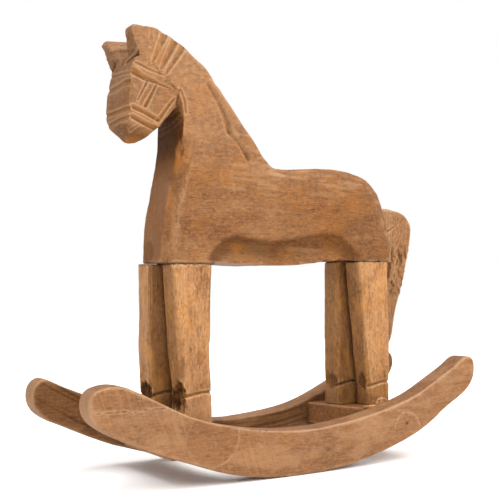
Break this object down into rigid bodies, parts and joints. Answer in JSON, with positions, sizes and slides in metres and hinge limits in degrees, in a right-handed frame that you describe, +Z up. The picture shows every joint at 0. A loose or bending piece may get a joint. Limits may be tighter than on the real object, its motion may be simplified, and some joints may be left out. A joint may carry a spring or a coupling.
{
  "type": "rocking horse",
  "caption": "Small hand-carved wooden rocking horse: one carved trunk, neck and head on whittled legs, crossbars and curved rockers.",
  "frame": {"origin": "on the floor, under the middle of the box round the whole object; the rockers touch the floor about 4 mm in front of it", "axes": "+X towards the nose, +Y to the horse's left, +Z up"},
  "size_m": [0.2534, 0.0844, 0.2364],
  "materials": {
    "body_wood": "golden-brown stained hardwood, knife-carved, satin",
    "leg_wood": "lighter golden-brown stained hardwood, whittled, satin",
    "tail_wood": "golden-brown stained hardwood with a rough carved band",
    "rocker_wood": "pale brown stained hardwood, sawn and sanded, matt",
    "crossbar_wood": "brown stained hardwood, sawn, matt",
    "dowel_wood": "plain beech-coloured dowel rod",
    "nail_steel": "plain wire nail",
    "wood_filler": "sanded wood filler, matt",
    "glue": "hardened amber glue"
  },
  "bodies": {
    "root": {"body": "body_wood", "tail": "tail_wood", "dowel_tail": "dowel_wood", "crossbar_front": "crossbar_wood", "crossbar_rear": "crossbar_wood", "glue_bead_hoof": "glue", "glue_strand_crossbar": "glue", "rocker_left": "rocker_wood", "leg_front_left": "leg_wood", "dowel_hip_front_left": "dowel_wood", "nail_hoof_front_left": "nail_steel", "nail_rocker_front_left": "nail_steel", "plug_rocker_front_left": "wood_filler", "leg_rear_left": "leg_wood", "dowel_hip_rear_left": "dowel_wood", "nail_hoof_rear_left": "nail_steel", "nail_rocker_rear_left": "nail_steel", "plug_rocker_rear_left": "wood_filler", "rocker_right": "rocker_wood", "leg_front_right": "leg_wood", "dowel_hip_front_right": "dowel_wood", "nail_hoof_front_right": "nail_steel", "nail_rocker_front_right": "nail_steel", "plug_rocker_front_right": "wood_filler", "leg_rear_right": "leg_wood", "dowel_hip_rear_right": "dowel_wood", "nail_hoof_rear_right": "nail_steel", "nail_rocker_rear_right": "nail_steel", "plug_rocker_rear_right": "wood_filler"}
  },
  "joints": []
}
